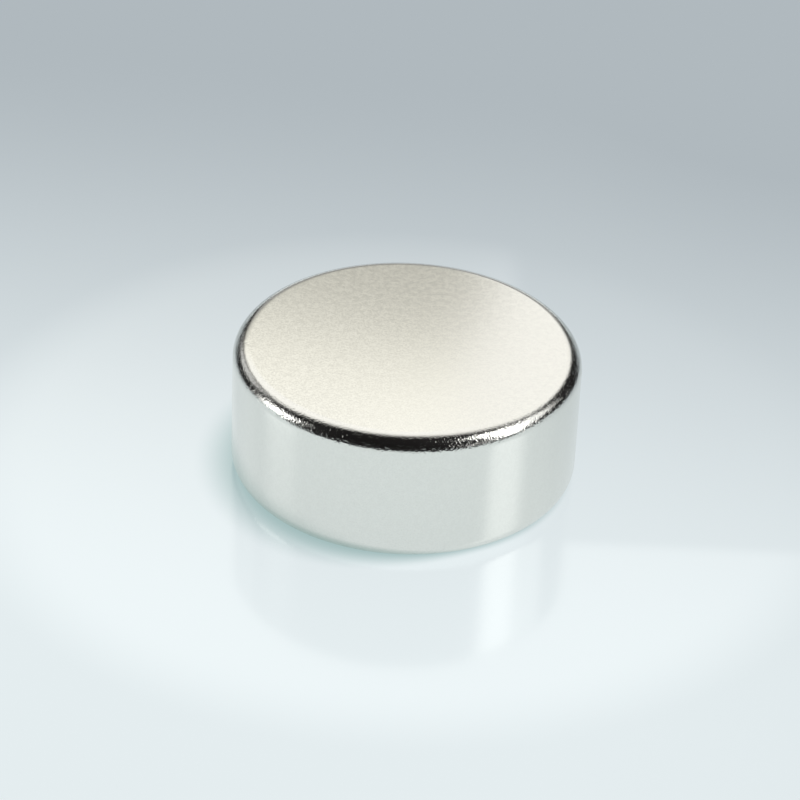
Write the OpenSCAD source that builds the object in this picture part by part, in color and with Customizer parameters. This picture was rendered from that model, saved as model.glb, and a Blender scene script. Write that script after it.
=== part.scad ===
// Cylinder magnet: one solid disc of plated sintered metal, standing on its lower pole face.
// Millimetres, +Z up along the axis of magnetisation, origin at the centre of the lower pole face.

/* [Disc] */
// Diameter across the round side wall
disc_d = 25; // [12:0.5:60]
// Thickness from the lower pole face to the upper pole face
disc_thickness = 10; // [5:0.5:40]

/* [Tumbled edges] */
// Radius that rounds the upper pole face into the side wall
upper_edge_r = 1.2; // [0.2:0.1:2]
// Radius that rounds the lower pole face into the side wall
lower_edge_r = 1.2; // [0.2:0.1:2]

/* [Hidden] */

// Segments in a full circle, for the preview mesh
$fn = 180;

disc_r = disc_d / 2;
wall_h = disc_thickness - upper_edge_r - lower_edge_r;

// Flat part of a pole face together with the rounded edge around it, as a half section.
// It reaches from the face at edge_y = 0 up to where the side wall starts.
module rounded_end(edge_r) {
    face_r = disc_r - edge_r;
    square([face_r, edge_r]);
    translate([face_r, edge_r]) {
        intersection() {
            circle(r = edge_r);
            translate([0, -edge_r]) square(edge_r);
        }
    }
}

// Half section of the disc, to the right of its axis
module half_section() {
    rounded_end(lower_edge_r);
    translate([0, lower_edge_r]) square([disc_r, wall_h]);
    translate([0, disc_thickness]) mirror([0, 1]) rounded_end(upper_edge_r);
}

// The magnet: the half section turned once around the axis
module magnet() {
    color([0.80, 0.80, 0.77]) rotate_extrude() half_section();
}

magnet();
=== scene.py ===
import math

import bpy
import numpy as np
from mathutils import Matrix, Vector, noise


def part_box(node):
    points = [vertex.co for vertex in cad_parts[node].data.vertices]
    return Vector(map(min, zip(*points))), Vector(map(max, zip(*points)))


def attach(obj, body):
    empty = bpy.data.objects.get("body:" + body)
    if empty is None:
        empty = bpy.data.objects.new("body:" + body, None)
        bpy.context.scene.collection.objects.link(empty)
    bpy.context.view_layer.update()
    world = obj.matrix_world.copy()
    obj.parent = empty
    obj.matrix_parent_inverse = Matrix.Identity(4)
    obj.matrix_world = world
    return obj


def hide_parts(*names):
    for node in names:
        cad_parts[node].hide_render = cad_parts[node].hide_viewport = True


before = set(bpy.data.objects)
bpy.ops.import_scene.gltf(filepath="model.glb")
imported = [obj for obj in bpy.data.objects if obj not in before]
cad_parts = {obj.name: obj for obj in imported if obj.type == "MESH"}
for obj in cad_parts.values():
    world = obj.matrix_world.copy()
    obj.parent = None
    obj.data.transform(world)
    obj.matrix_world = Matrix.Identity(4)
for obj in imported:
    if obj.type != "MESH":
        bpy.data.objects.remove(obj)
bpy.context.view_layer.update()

MM = 0.001

# ---------------------------------------------------------------- sizes, from the magnet in model.glb
low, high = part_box("magnet")
DISC_R = (high.x - low.x) / 2
BASE_Z = low.z
TOP_Z = high.z
# Radius of the tumbled edges, as in the solid
EDGE_R = 1.2 * MM
FACE_R = DISC_R - EDGE_R
WALL_LOW = BASE_Z + EDGE_R
WALL_HIGH = TOP_Z - EDGE_R


# ---------------------------------------------------------------- small node helpers
class Nodes:
    """A material's or world's node tree, with short ways to add and join nodes."""

    def __init__(self, owner):
        owner.use_nodes = True
        self.tree = owner.node_tree
        self.tree.nodes.clear()

    def add(self, kind, inputs=None, **settings):
        node = self.tree.nodes.new(kind)
        for name, value in settings.items():
            setattr(node, name, value)
        for name, value in (inputs or {}).items():
            self.put(node.inputs[name], value)
        return node

    def put(self, socket, value):
        if isinstance(value, bpy.types.NodeSocket):
            self.tree.links.new(value, socket)
        else:
            socket.default_value = value

    def math(self, operation, *values):
        node = self.add("ShaderNodeMath", operation=operation)
        for socket, value in zip(node.inputs, values):
            self.put(socket, value)
        return node.outputs[0]

    def times(self, a, b):
        return self.math("MULTIPLY", a, b)

    def off_axis(self, x, y):
        """The distance from the magnet's upright axis."""
        return self.math("SQRT", self.math("ADD", self.times(x, x), self.times(y, y)))

    def smooth(self, value, low, high, low_out=0.0, high_out=1.0):
        node = self.add("ShaderNodeMapRange", interpolation_type="SMOOTHSTEP")
        numbers = {
            "Value": value,
            "From Min": low,
            "From Max": high,
            "To Min": low_out,
            "To Max": high_out,
        }
        for name, number in numbers.items():
            self.put(node.inputs[name], number)
        return node.outputs[0]

    def mix(self, factor, a, b):
        node = self.add("ShaderNodeMix", data_type="RGBA")
        self.put(node.inputs[0], factor)
        self.put(node.inputs[6], a)
        self.put(node.inputs[7], b)
        return node.outputs[2]

    def lerp(self, factor, a, b):
        node = self.add("ShaderNodeMix", data_type="FLOAT")
        for socket, value in zip(node.inputs[:1] + node.inputs[2:4], (factor, a, b)):
            self.put(socket, value)
        return node.outputs[0]

    def place(self):
        """The point in the object's own frame, and its x, y and z."""
        point = self.add("ShaderNodeTexCoord").outputs["Object"]
        return point, *self.add("ShaderNodeSeparateXYZ", {"Vector": point}).outputs

    def grain(self, point, size, detail=2.0, roughness=0.5):
        """Noise from 0 to 1 whose lumps are about size across, in metres."""
        inputs = {"Vector": point, "Scale": 1 / size, "Detail": detail, "Roughness": roughness}
        return self.add("ShaderNodeTexNoise", inputs).outputs[0]

    def finish(self, shader, kind="ShaderNodeOutputMaterial"):
        out = self.add(kind)
        self.put(out.inputs["Surface"], shader.outputs[0])


# ---------------------------------------------------------------- camera
EYE_DISTANCE = 239.33 * MM
EYE_ELEVATION_DEG = 33.792
EYE_ELEVATION = math.radians(EYE_ELEVATION_DEG)
AIM_YAW = math.radians(-0.114)
AIM_PITCH = math.radians(EYE_ELEVATION_DEG - 1.071)
AIM_ROLL = math.radians(2.59)
FOCAL_PX = 3277.2
FRAME_PX = 800
SENSOR_MM = 36.0


def make_camera():
    eye = Vector((0, -math.cos(EYE_ELEVATION), math.sin(EYE_ELEVATION))) * EYE_DISTANCE
    forward = Vector((
        math.sin(AIM_YAW) * math.cos(AIM_PITCH),
        math.cos(AIM_YAW) * math.cos(AIM_PITCH),
        -math.sin(AIM_PITCH),
    ))
    level_right = Vector((math.cos(AIM_YAW), -math.sin(AIM_YAW), 0))
    level_up = level_right.cross(forward)
    right = math.cos(AIM_ROLL) * level_right + math.sin(AIM_ROLL) * level_up
    up = right.cross(forward)
    turn = Matrix((right, up, -forward)).transposed().to_4x4()
    data = bpy.data.cameras.new("camera")
    data.sensor_width = SENSOR_MM
    data.lens = FOCAL_PX * SENSOR_MM / FRAME_PX
    data.clip_start = 0.01
    data.clip_end = 10
    camera = bpy.data.objects.new("camera", data)
    bpy.context.scene.collection.objects.link(camera)
    camera.matrix_world = Matrix.Translation(eye) @ turn
    bpy.context.scene.camera = camera


# ---------------------------------------------------------------- the magnet's mesh
TURN_STEPS = 720
EDGE_STEPS = 20
WALL_STEPS = 10
FACE_STEPS = 12
# Rings just inside the face's rim, where some dents reach
FACE_RIM_RINGS = (0.6 * MM, 0.45 * MM, 0.3 * MM, 0.2 * MM, 0.1 * MM)
# The tumbled edges are faintly uneven: the lumps' size, and how far they sink the surface
LUMP = 0.45 * MM
LUMP_DEPTH = 0.003 * MM
# Dents along the edges: turn and tilt in degrees, radius and depth in mm. The tilt is 0 at the
# upper face, 90 at the wall and 180 at the lower face.
DENTS = (
    (182.9, 14, 0.16, 0.010),
    (184.3, 8, 0.14, 0.007),
    (212.7, 34, 0.15, 0.012),
    (248.4, 20, 0.16, 0.012),
    (79.9, 24, 0.20, 0.020),
    (97.0, 20, 0.16, 0.012),
    (241.0, 62, 0.15, 0.014),
    (273.5, 26, 0.15, 0.010),
    (276.6, 84, 0.22, 0.012),
    (278.4, 80, 0.18, 0.012),
    (282.5, 80, 0.16, 0.012),
    (251.3, 128, 0.22, 0.030),
    (243.5, 122, 0.18, 0.026),
    (23.0, 58, 0.20, 0.018),
    (128.0, 66, 0.18, 0.016),
)


def half_profile():
    """(radius, height, sink) up the half section: sink is 1 on the edges and 0 elsewhere."""
    face = [(FACE_R - FACE_RIM_RINGS[0]) * (k / FACE_STEPS) ** 0.6 for k in range(1, FACE_STEPS)]
    face += [FACE_R - inset for inset in FACE_RIM_RINGS]
    tilts = [k * math.pi / 2 / EDGE_STEPS for k in range(EDGE_STEPS + 1)]
    points = [(r, BASE_Z, 0) for r in face]
    for t in tilts:
        points.append((FACE_R + EDGE_R * math.sin(t), WALL_LOW - EDGE_R * math.cos(t), math.sin(2 * t)))
    for k in range(1, WALL_STEPS):
        points.append((DISC_R, WALL_LOW + (WALL_HIGH - WALL_LOW) * k / WALL_STEPS, 0))
    for t in tilts:
        points.append((FACE_R + EDGE_R * math.cos(t), WALL_HIGH + EDGE_R * math.sin(t), math.sin(2 * t)))
    points += [(r, TOP_Z, 0) for r in reversed(face)]
    return np.array(points)


def edge_point(turn, tilt):
    """The point on a tumbled edge at a turn and a tilt in degrees, and its outward normal."""
    turn, tilt = math.radians(turn), math.radians(tilt)
    normal = Vector((math.sin(tilt) * math.cos(turn), math.sin(tilt) * math.sin(turn), math.cos(tilt)))
    spine_z = WALL_HIGH if tilt < math.pi / 2 else WALL_LOW
    centre = Vector((FACE_R * math.cos(turn), FACE_R * math.sin(turn), spine_z))
    return centre + EDGE_R * normal, normal


def wear(points, sink):
    """Sinks the edges' points by the tumbling's lumps, and by the dents."""
    for k in np.nonzero(sink > 0.001)[0]:
        point = Vector(points[k])
        spine = Vector((point.x, point.y, 0)).normalized() * FACE_R
        spine.z = min(max(point.z, WALL_LOW), WALL_HIGH)
        lump = 0.5 + 0.5 * noise.noise(point / LUMP)
        points[k] = point + (spine - point).normalized() * (LUMP_DEPTH * lump * sink[k])
    for turn, tilt, radius, depth in DENTS:
        centre, normal = edge_point(turn, tilt)
        gap = np.linalg.norm(points - np.array(centre), axis=1) / (radius * MM)
        near = gap < 1
        points[near] -= np.array(normal) * (depth * MM * (1 - gap[near] ** 2) ** 2)[:, None]
    return points


def make_magnet():
    profile = half_profile()
    turn = np.arange(TURN_STEPS) * 2 * math.pi / TURN_STEPS
    rings = len(profile)
    radius = np.repeat(profile[:, 0], TURN_STEPS)
    height = np.repeat(profile[:, 1], TURN_STEPS)
    around = np.tile(turn, rings)
    points = np.stack([radius * np.cos(around), radius * np.sin(around), height], -1)
    points = wear(points, np.repeat(profile[:, 2], TURN_STEPS))
    points = np.vstack([points, [[0, 0, BASE_Z], [0, 0, TOP_Z]]])
    low_centre, high_centre = len(points) - 2, len(points) - 1
    faces = []
    for k in range(TURN_STEPS):
        n = (k + 1) % TURN_STEPS
        faces.append((low_centre, n, k))
        for ring in range(rings - 1):
            a, b = ring * TURN_STEPS, (ring + 1) * TURN_STEPS
            faces.append((a + k, a + n, b + n, b + k))
        last = (rings - 1) * TURN_STEPS
        faces.append((high_centre, last + k, last + n))
    mesh = bpy.data.meshes.new("magnet_body")
    mesh.from_pydata(points.tolist(), [], faces)
    mesh.polygons.foreach_set("use_smooth", [True] * len(mesh.polygons))
    mesh.update()
    magnet = bpy.data.objects.new("magnet_body", mesh)
    bpy.context.scene.collection.objects.link(magnet)
    magnet.data.materials.append(nickel_plate())
    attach(magnet, "root")
    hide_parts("magnet")


# ---------------------------------------------------------------- nickel plate
NICKEL = (0.835, 0.831, 0.786, 1)
NICKEL_DULL = (0.71, 0.706, 0.668, 1)
FACE_ROUGH = 0.12
WALL_ROUGH = 0.19
EDGE_ROUGH = 0.17
# The satin's two grains, how deep they are, and the coarse one's share in front and behind
SATIN_FINE = 0.12 * MM
SATIN_COARSE = 0.50 * MM
SATIN_DEPTH = 0.001 * MM
COARSE_IN_FRONT = 0.38
COARSE_BEHIND = 0.65
# How strongly the satin grain shows: on most of the upper face; on its right part, where it is faint as
# a painted sheen that leaves that part lighter; and on the wall
SATIN_CLEAR = 1.0
SATIN_IN_SHEEN = 0.34
SATIN_WALL = 0.22
# The tumbled edges' fine ripple and pits
RIPPLE_SIZE = 0.12 * MM
RIPPLE_HEIGHT = 0.013 * MM
PIT_SIZE = 0.18 * MM
PIT_DEPTH = 0.0055 * MM


def nickel_plate():
    material = bpy.data.materials.new("nickel_plate")
    n = Nodes(material)
    point, x, y, z = n.place()
    across = n.off_axis(x, y)
    past_face = n.smooth(across, FACE_R - 0.1 * EDGE_R, FACE_R + 0.35 * EDGE_R)
    up_wall = n.math("ABSOLUTE", n.math("SUBTRACT", z, (BASE_Z + TOP_Z) / 2))
    wall_half = (TOP_Z - BASE_Z) / 2 - EDGE_R
    off_wall = n.smooth(up_wall, wall_half, wall_half + 0.3 * EDGE_R)
    on_edge = n.times(past_face, off_wall)

    flat_rough = n.smooth(past_face, 0.0, 1.0, FACE_ROUGH, WALL_ROUGH)
    rough = n.smooth(on_edge, 0.0, 1.0, flat_rough, EDGE_ROUGH)

    # Satin grain, the plating's own: clear on most of the upper face and faint on the wall; faint on its
    # right part too, a painted sheen that leaves that part lighter
    fine = n.grain(point, SATIN_FINE, 1.0, 0.6)
    coarse = n.grain(point, SATIN_COARSE, 3.0, 0.65)
    coarse_share = n.smooth(y, 0.0, 10.0 * MM, COARSE_IN_FRONT, COARSE_BEHIND)
    satin = n.lerp(coarse_share, fine, coarse)
    toward_sheen = n.math("ADD", x, n.times(y, -0.55))
    strong = n.smooth(toward_sheen, -5.0 * MM, 8.0 * MM, SATIN_CLEAR, SATIN_IN_SHEEN)
    strength = n.lerp(past_face, strong, SATIN_WALL)
    dull = n.times(n.smooth(satin, 0.38, 0.62), strength)
    colour = n.mix(dull, NICKEL, NICKEL_DULL)

    # Heights in metres: the satin grain, and the finer roughness that the tumbling left on the
    # edges
    ripple = n.times(n.grain(point, RIPPLE_SIZE, 0.0), RIPPLE_HEIGHT)
    pits = n.times(n.smooth(n.grain(point, PIT_SIZE, 0.0), 0.60, 0.71), -PIT_DEPTH)
    clear_of_face = n.smooth(across, FACE_R + 0.2 * EDGE_R, FACE_R + 0.5 * EDGE_R)
    edge_middle = n.times(off_wall, clear_of_face)
    edge_wear = n.times(n.math("ADD", ripple, pits), edge_middle)
    height = n.math("ADD", n.times(satin, SATIN_DEPTH), edge_wear)
    bump = n.add("ShaderNodeBump", {"Height": height, "Strength": 1.0, "Distance": 1.0})
    inputs = {"Base Color": colour, "Metallic": 1.0, "Roughness": rough, "Normal": bump.outputs[0]}
    n.finish(n.add("ShaderNodeBsdfPrincipled", inputs))
    return material


# ---------------------------------------------------------------- floor and backdrop
FLOOR_R = 0.9
SWEEP_R = 0.12
FLOOR_STEPS = 360
SWEEP_RINGS = 6
# How far round the backdrop reaches from straight behind and from straight left, the turn over
# which it sinks at its ends, and its height on the left as a share of that behind
BEHIND_END = math.radians(30)
BEHIND_SINK = math.radians(10)
LEFT_END = math.radians(10.5)
LEFT_SINK = math.radians(2)
LEFT_SHARE = 0.8
# The floor's pale front colour, and the painted shade that it darkens to behind
FLOOR_FRONT = (0.816, 0.888, 0.908, 1)
FLOOR_BACK_SHADED = (0.452, 0.504, 0.537, 1)
# Colour of the painted contact shade round the foot
FLOOR_SHADE = (0.36, 0.50, 0.50, 1)
# Far off in front, and behind on both sides, the floor is painted dark: a painted shade that stands for
# the dark room that the plating mirrors in the photograph.
FLOOR_PAINTED_DARK = (0.02, 0.02, 0.02, 1)
# Share of the floor's colour that the camera and mirror-like surfaces see without any light,
# the rest being lit, so that the floor keeps a soft shadow
FLOOR_GLOW = 0.92
# The painted contact shade round the foot reaches further on the left than on the right
SHADE_LEFT = 4.2 * MM
SHADE_RIGHT = 1.2 * MM
# Distances from the axis at which the dark parts begin, and the widths over which they do
DIM_LEFT = 76 * MM
DIM_RIGHT = 60 * MM
DIM_BLEND = 16 * MM
DIM_FRONT = 180 * MM
DIM_FRONT_END = 215 * MM
FLOOR_ROUGH = 0.13
# The gloss close round the magnet: its strength, that of its right part, the distances from the
# axis over which it ends, and the Layer Weight facing values over which it fades
GLOSS = 0.55
GLOSS_RIGHT = 0.05
GLOSS_R = 27 * MM
GLOSS_END = 34 * MM
GLOSS_STEEP = 0.52
GLOSS_FLAT = 0.60


def stage_mesh(name, points, faces, material, smooth=False):
    mesh = bpy.data.meshes.new(name)
    mesh.from_pydata([tuple(p) for p in points], [], faces)
    mesh.polygons.foreach_set("use_smooth", [smooth] * len(mesh.polygons))
    mesh.update()
    obj = bpy.data.objects.new(name, mesh)
    bpy.context.scene.collection.objects.link(obj)
    obj.data.materials.append(material)


def floor_material():
    material = bpy.data.materials.new("floor")
    material.cycles.emission_sampling = "NONE"
    n = Nodes(material)
    _, x, y, _ = n.place()
    # Painted shade: the floor turns darker from its front to its back colour along a line slightly
    # askew, and a little darker to the right
    askew = n.math("ADD", y, n.times(x, 0.1))
    aside = n.math("ABSOLUTE", x)
    backward = n.smooth(askew, -25 * MM, 62 * MM)
    rightward = n.smooth(x, 8 * MM, 32 * MM, 0.0, 0.06)
    painted_falloff = n.math("ADD", backward, rightward)
    painted_falloff = n.times(painted_falloff, n.smooth(aside, 60 * MM, 200 * MM, 1.0, 0.0))
    across = n.off_axis(x, y)
    # The painted dark parts are two wedges behind, one on each side, and a fan in front
    slope = n.math("DIVIDE", y, n.math("ADD", aside, 1 * MM))
    past = n.math("DIVIDE", n.math("SUBTRACT", y, 24 * MM), n.math("ADD", aside, 1 * MM))
    beside = n.times(n.smooth(past, 0.15, 0.22), n.smooth(slope, 1.0, 1.4, 1.0, 0.0))
    dim_start = n.smooth(x, -10 * MM, 10 * MM, DIM_LEFT, DIM_RIGHT)
    past_start = n.smooth(n.math("SUBTRACT", across, dim_start), 0.0, DIM_BLEND)
    forward = n.smooth(slope, -0.45, -0.33, 1.0, 0.0)
    in_front = n.times(forward, n.smooth(across, DIM_FRONT, DIM_FRONT_END))
    dim = n.math("MAXIMUM", n.times(beside, past_start), in_front)
    open_floor = n.mix(dim, n.mix(painted_falloff, FLOOR_FRONT, FLOOR_BACK_SHADED), FLOOR_PAINTED_DARK)
    side = n.smooth(n.math("DIVIDE", x, across), -0.8, 0.5, SHADE_LEFT, SHADE_RIGHT)
    clear = n.smooth(n.math("DIVIDE", n.math("SUBTRACT", across, FACE_R), side), 0.0, 1.0)
    colour = n.mix(clear, FLOOR_SHADE, open_floor)
    rays = n.add("ShaderNodeLightPath").outputs
    mirrored = n.math("MAXIMUM", rays["Is Glossy Ray"], rays["Is Transmission Ray"])
    seen = n.math("MAXIMUM", rays["Is Camera Ray"], mirrored)
    glow = n.times(seen, FLOOR_GLOW)
    lit = n.mix(glow, colour, (0, 0, 0, 1))
    # Close round the magnet the floor has a faint gloss where it is seen steeply, for every kind
    # of ray alike, and none where it is seen flat
    facing = n.add("ShaderNodeLayerWeight", {"Blend": 0.5}).outputs["Facing"]
    steep = n.smooth(facing, GLOSS_STEEP, GLOSS_FLAT, 1.0, 0.0)
    near = n.smooth(across, GLOSS_R, GLOSS_END, 1.0, 0.0)
    to_right = n.times(n.smooth(x, 6 * MM, 10 * MM), n.smooth(y, -11 * MM, -8 * MM))
    gloss = n.times(n.times(steep, near), n.smooth(to_right, 0.0, 1.0, GLOSS, GLOSS_RIGHT))
    inputs = {
        "Base Color": lit,
        "Specular IOR Level": gloss,
        "Roughness": FLOOR_ROUGH,
        "Emission Color": colour,
        "Emission Strength": glow,
    }
    n.finish(n.add("ShaderNodeBsdfPrincipled", inputs))
    return material


def sweep_height(turn):
    """The backdrop's height at a turn from +X: it stands only behind (+Y) and to the left (-X)."""
    behind = abs(turn - math.pi / 2)
    beside = abs(turn - math.pi)
    rise = max(0.0, min(1.0, (BEHIND_END - behind) / BEHIND_SINK))
    side_rise = max(0.0, min(1.0, (LEFT_END - beside) / LEFT_SINK))
    return SWEEP_R * max(rise, LEFT_SHARE * side_rise)


def make_floor():
    """A round floor whose rim sweeps up into a low backdrop."""
    steps, rings = FLOOR_STEPS, SWEEP_RINGS
    points = [(0, 0, 0)]
    faces = []
    radii = [(0.3, 0), (FLOOR_R - SWEEP_R, 0)]
    for k in range(1, rings + 1):
        t = k / rings * math.pi / 2
        radii.append((FLOOR_R - SWEEP_R + SWEEP_R * math.sin(t), 1 - math.cos(t)))
    for radius, lift in radii:
        for k in range(steps):
            turn = 2 * math.pi * k / steps
            points.append((radius * math.cos(turn), radius * math.sin(turn), lift * sweep_height(turn)))
    for k in range(steps):
        n = (k + 1) % steps
        faces.append((0, 1 + k, 1 + n))
        for ring in range(len(radii) - 1):
            a, b = 1 + ring * steps, 1 + (ring + 1) * steps
            faces.append((a + k, b + k, b + n, a + n))
    stage_mesh("floor", points, faces, floor_material(), smooth=True)


# ---------------------------------------------------------------- lights
CEILING_H = 0.30
CEILING_HALF = 0.30
CEILING_NEAR = -0.02
CEILING_FAR = 0.68
CEILING_WARM = (1.0, 0.983, 0.90, 1)
CEILING_COOL = (1.0, 0.99, 0.965, 1)
# Light levels: the main panel from near to far, the strip after it, and the panel on the right
MAIN_NEAR = 1.17
MAIN_FAR = 1.30
STRIP = 0.575
RIGHT_PANEL = 1.125


def make_ceiling():
    """The large soft light overhead and behind, with a longer and dimmer panel on its right."""
    material = bpy.data.materials.new("ceiling_light")
    n = Nodes(material)
    _, x, y, _ = n.place()
    near_edge = n.smooth(y, -0.01, 0.185)
    side_edge = n.smooth(n.math("ABSOLUTE", x), 0.18, CEILING_HALF, 1.0, 0.0)
    # The main panel grows brighter towards its far edge, which runs slightly askew, and is
    # followed by a dimmer strip
    askew = n.math("ADD", y, n.times(x, 0.25))
    strip = n.smooth(y, 0.60, CEILING_FAR, STRIP, 0.0)
    bright = n.smooth(y, 0.40, 0.47, MAIN_NEAR, MAIN_FAR)
    past_main = n.smooth(askew, 0.45, 0.485)
    main = n.lerp(past_main, bright, strip)
    right = n.smooth(y, 0.62, CEILING_FAR, RIGHT_PANEL, 0.0)
    # The right panel begins at a seam, which shifts a little to the right past the main panel
    seam = n.math("SUBTRACT", x, n.smooth(y, 0.475, 0.495, 0.0, 0.009))
    past_seam = n.smooth(seam, 0.009, 0.016)
    level = n.lerp(past_seam, main, right)
    cool = n.math("MAXIMUM", past_seam, n.smooth(y, 0.40, 0.46, 1.0, 0.0))
    colour = n.mix(cool, CEILING_WARM, CEILING_COOL)
    level = n.times(n.times(level, near_edge), side_edge)
    n.finish(n.add("ShaderNodeEmission", {"Color": colour, "Strength": level}))
    corners = [
        (-CEILING_HALF, CEILING_NEAR, CEILING_H),
        (CEILING_HALF, CEILING_NEAR, CEILING_H),
        (CEILING_HALF, CEILING_FAR, CEILING_H),
        (-CEILING_HALF, CEILING_FAR, CEILING_H),
    ]
    stage_mesh("ceiling_light", corners, [(0, 3, 2, 1)], material)


LAMP_DISTANCE = 0.6
# Name, azimuth and elevation in degrees, width and height in metres, radiance. The azimuth is
# turned from the camera's side (-Y) towards +X.
LAMPS = (
    ("right_softbox", 71, 34, 0.21, 0.52, 2.8),
    ("right_softbox_wing", 97, 39, 0.24, 0.42, 1.15),
    ("left_softbox", -87, 20, 0.25, 0.26, 2.3),
    ("back_panel", 180, 13, 0.32, 0.24, 0.34),
    ("back_left_panel", -134, 34, 0.34, 0.34, 0.50),
    ("back_left_card", -135, 23.5, 0.15, 0.11, 0.35),
    ("front_right_card", 45, 13.5, 0.15, 0.11, 0.65),
)
ROOM = (1.0, 0.93, 0.95, 1)
ROOM_LEVEL = 0.010


def make_lamp(name, azimuth, elevation, width, height, radiance):
    """A softbox or card that faces the magnet."""
    a, e = math.radians(azimuth), math.radians(elevation)
    way = Vector((math.sin(a) * math.cos(e), -math.cos(a) * math.cos(e), math.sin(e)))
    data = bpy.data.lights.new(name, "AREA")
    data.shape = "RECTANGLE"
    data.size, data.size_y = width, height
    data.energy = radiance * math.pi * width * height
    lamp = bpy.data.objects.new(name, data)
    bpy.context.scene.collection.objects.link(lamp)
    lamp.location = way * LAMP_DISTANCE
    lamp.rotation_euler = way.to_track_quat("Z", "Y").to_euler()
    lamp.visible_camera = False


def make_world():
    world = bpy.data.worlds.new("room")
    bpy.context.scene.world = world
    n = Nodes(world)
    background = n.add("ShaderNodeBackground", {"Color": ROOM, "Strength": ROOM_LEVEL})
    n.finish(background, "ShaderNodeOutputWorld")


make_camera()
make_world()
make_floor()
make_ceiling()
for lamp_numbers in LAMPS:
    make_lamp(*lamp_numbers)
make_magnet()

bpy.context.scene.view_settings.view_transform = "Standard"
